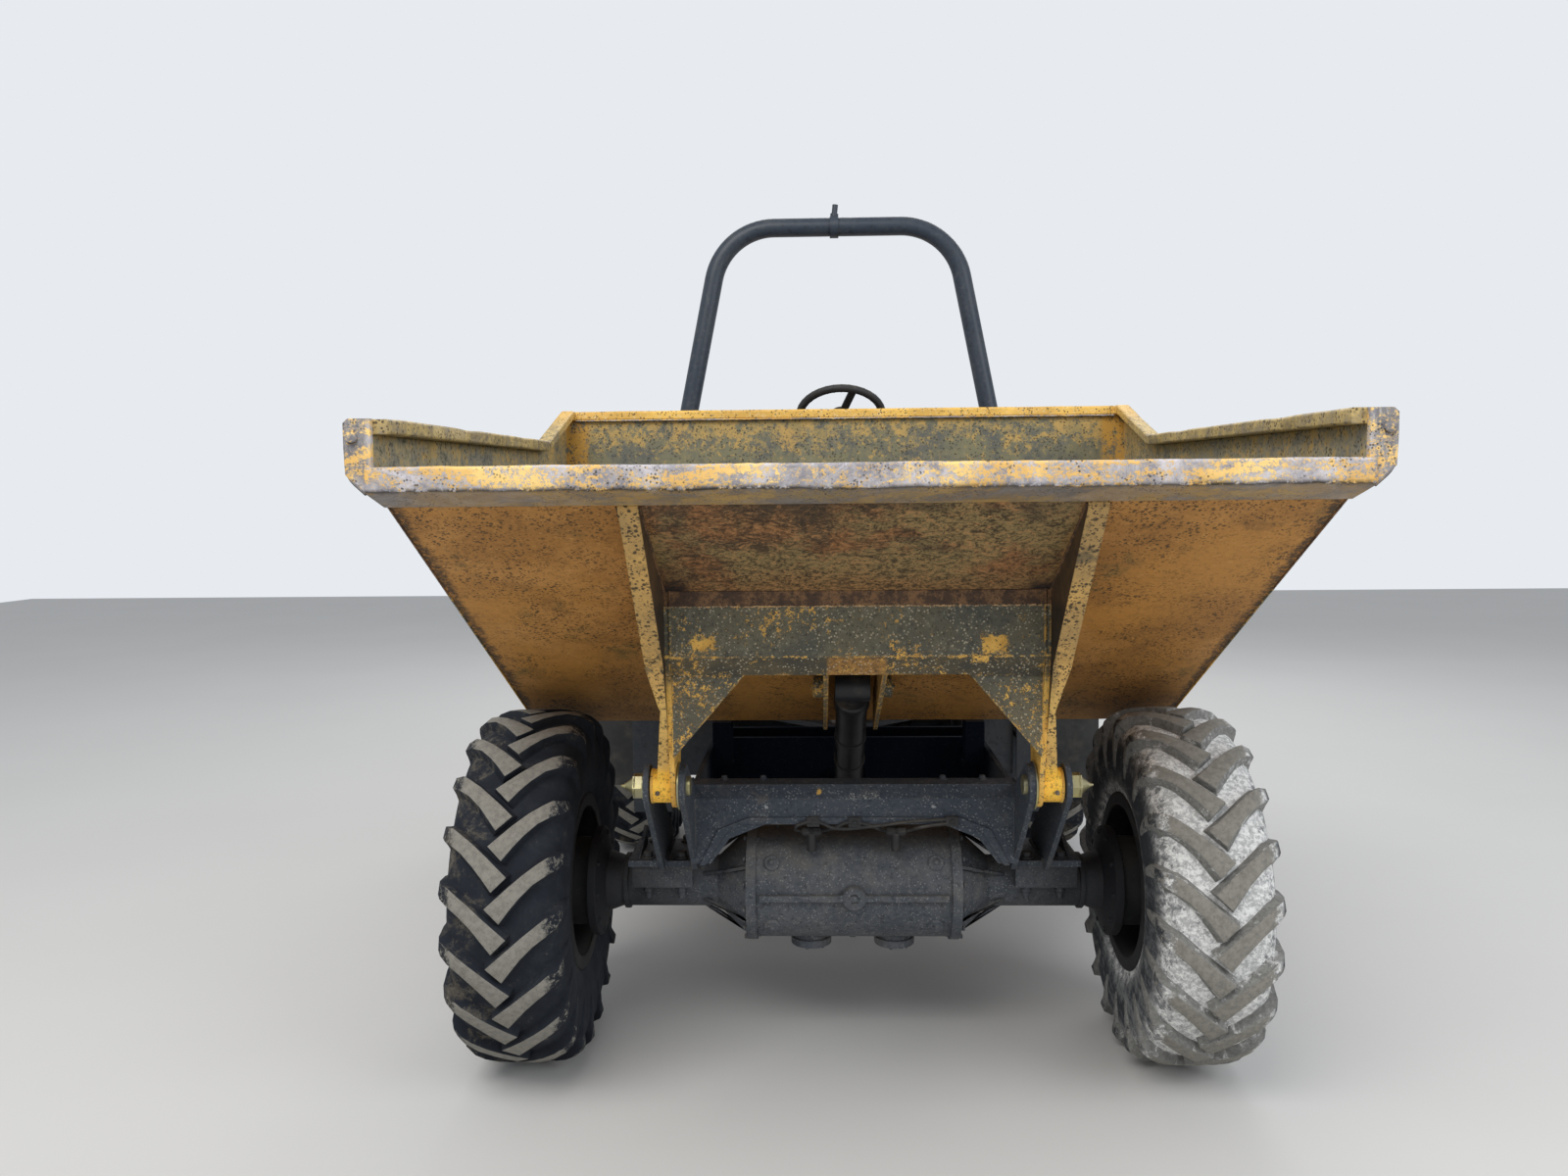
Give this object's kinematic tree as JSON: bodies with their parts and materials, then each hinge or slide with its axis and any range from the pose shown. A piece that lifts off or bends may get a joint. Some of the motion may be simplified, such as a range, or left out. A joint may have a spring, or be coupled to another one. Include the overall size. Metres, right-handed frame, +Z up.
{
  "type": "articulated site dumper",
  "caption": "Articulated front-tipping site dumper with a worn yellow skip, lugged tyres, an open driver's seat behind the skip and a roll-over hoop",
  "frame": {"origin": "on the ground under the middle of the machine", "axes": "+X across to the machine's left, -Y forward, +Z up"},
  "size_m": [2.136, 4.05, 2.852],
  "materials": {
    "skip_yellow": "worn yellow-orange paint with rust",
    "worn_steel": "bare worn steel",
    "hinge_olive": "dirty dark olive paint, chipped",
    "chassis_grey": "dusty dark blue-grey paint",
    "ram_black": "gloss black paint",
    "rod_chrome": "hard chrome",
    "zinc": "yellow zinc plate",
    "tyre_rubber": "dusty",
    "rim_grey": "dirty dark paint",
    "body_yellow": "yellow-orange paint",
    "rops_slate": "satin slate paint",
    "black_plastic": "matt black",
    "seat_vinyl": "padded black vinyl",
    "soft_rubber": "black rubber",
    "engine_grey": "dark cast metal",
    "lamp_red": "red lens",
    "exhaust_steel": "heat-stained steel"
  },
  "bodies": {
    "front_unit": {"front_chassis": "chassis_grey", "front_axle": "chassis_grey", "skip_pivot_pins": "zinc", "skip_rest_pads": "soft_rubber", "front_propshaft": "engine_grey"},
    "skip": {"skip_shell": "skip_yellow", "skip_rim": "skip_yellow", "skip_lip": "worn_steel", "skip_ribs": "skip_yellow", "skip_hinge_frame": "hinge_olive"},
    "tip_ram_barrel_body": {"tip_ram_barrel": "ram_black"},
    "tip_ram_rod_body": {"tip_ram_rod": "rod_chrome"},
    "front_left_wheel": {"tyre_front_left": "tyre_rubber", "wheel_front_left": "rim_grey"},
    "front_right_wheel": {"tyre_front_right": "tyre_rubber", "wheel_front_right": "rim_grey"},
    "rear_left_wheel": {"tyre_rear_left": "tyre_rubber", "wheel_rear_left": "rim_grey"},
    "rear_right_wheel": {"tyre_rear_right": "tyre_rubber", "wheel_rear_right": "rim_grey"},
    "rear_unit": {"rear_chassis": "chassis_grey", "rear_axle": "chassis_grey", "articulation_pin": "zinc", "rear_support_frames": "chassis_grey", "mudguards": "body_yellow", "operator_deck": "chassis_grey", "access_steps": "chassis_grey", "side_tanks": "chassis_grey", "rear_bumper": "body_yellow", "tow_hitch": "chassis_grey", "engine_block": "engine_grey", "transmission": "engine_grey", "rear_propshafts": "engine_grey", "engine_bulkhead": "chassis_grey", "seat_base": "black_plastic", "seat_cushion": "seat_vinyl", "seat_back": "seat_vinyl", "control_console": "black_plastic", "driver_controls": "black_plastic", "exhaust": "exhaust_steel", "rear_lamps": "lamp_red", "rops_hoop": "rops_slate"},
    "steer_ram_barrel_body": {"steer_ram_barrel": "ram_black"},
    "steer_ram_rod_body": {"steer_ram_rod": "rod_chrome"},
    "engine_hood_body": {"engine_hood": "body_yellow", "hood_grille": "black_plastic"},
    "steering_wheel_body": {"steering_wheel": "black_plastic"}
  },
  "joints": [
    {"name": "skip_tip", "type": "hinge", "parent": "front_unit", "child": "skip", "pos_m": [0, -1.385, 0.86], "axis": [1, 0, 0], "range_deg": [0, 70]},
    {"name": "tip_ram_swing", "type": "hinge", "parent": "front_unit", "child": "tip_ram_barrel_body", "pos_m": [0, -0.525, 0.62], "axis": [1, 0, 0], "range_deg": [-0.5, 6.16]},
    {"name": "tip_ram_extend", "type": "slide", "parent": "tip_ram_barrel_body", "child": "tip_ram_rod_body", "axis": [0, -0.7968, 0.6042], "range_m": [-0.002, 0.3836]},
    {"name": "steering", "type": "hinge", "parent": "front_unit", "child": "rear_unit", "pos_m": [0, 0.025, 0.6], "axis": [0, 0, 1], "range_deg": [-33, 33]},
    {"name": "steer_ram_swing", "type": "hinge", "parent": "rear_unit", "child": "steer_ram_barrel_body", "pos_m": [0.27, 0.695, 0.6], "axis": [0, 0, 1], "range_deg": [-9.25, 9.25]},
    {"name": "steer_ram_extend", "type": "slide", "parent": "steer_ram_barrel_body", "child": "steer_ram_rod_body", "axis": [0.011, -0.9999, 0], "range_m": [-0.1596, 0.1596]},
    {"name": "front_left_spin", "type": "hinge", "parent": "front_unit", "child": "front_left_wheel", "pos_m": [0.908, -1.025, 0.495], "axis": [1, 0, 0], "continuous": true},
    {"name": "front_right_spin", "type": "hinge", "parent": "front_unit", "child": "front_right_wheel", "pos_m": [-0.908, -1.025, 0.495], "axis": [1, 0, 0], "continuous": true},
    {"name": "rear_left_spin", "type": "hinge", "parent": "rear_unit", "child": "rear_left_wheel", "pos_m": [0.908, 1.075, 0.495], "axis": [1, 0, 0], "continuous": true},
    {"name": "rear_right_spin", "type": "hinge", "parent": "rear_unit", "child": "rear_right_wheel", "pos_m": [-0.908, 1.075, 0.495], "axis": [1, 0, 0], "continuous": true},
    {"name": "hood_lift", "type": "hinge", "parent": "rear_unit", "child": "engine_hood_body", "pos_m": [0, 0.965, 1.388], "axis": [1, 0, 0], "range_deg": [0, 60]},
    {"name": "steering_wheel_turn", "type": "hinge", "parent": "rear_unit", "child": "steering_wheel_body", "pos_m": [0, 0.255, 1.919], "axis": [0, 0.5878, 0.809], "continuous": true}
  ],
  "couplings": [
    {"joint": "tip_ram_swing", "follows": "skip_tip", "ratio": 0.08085},
    {"joint": "tip_ram_extend", "follows": "skip_tip", "m_per_rad": 0.31231},
    {"joint": "steer_ram_swing", "follows": "steering", "ratio": -0.265},
    {"joint": "steer_ram_extend", "follows": "steering", "m_per_rad": 0.2754}
  ]
}
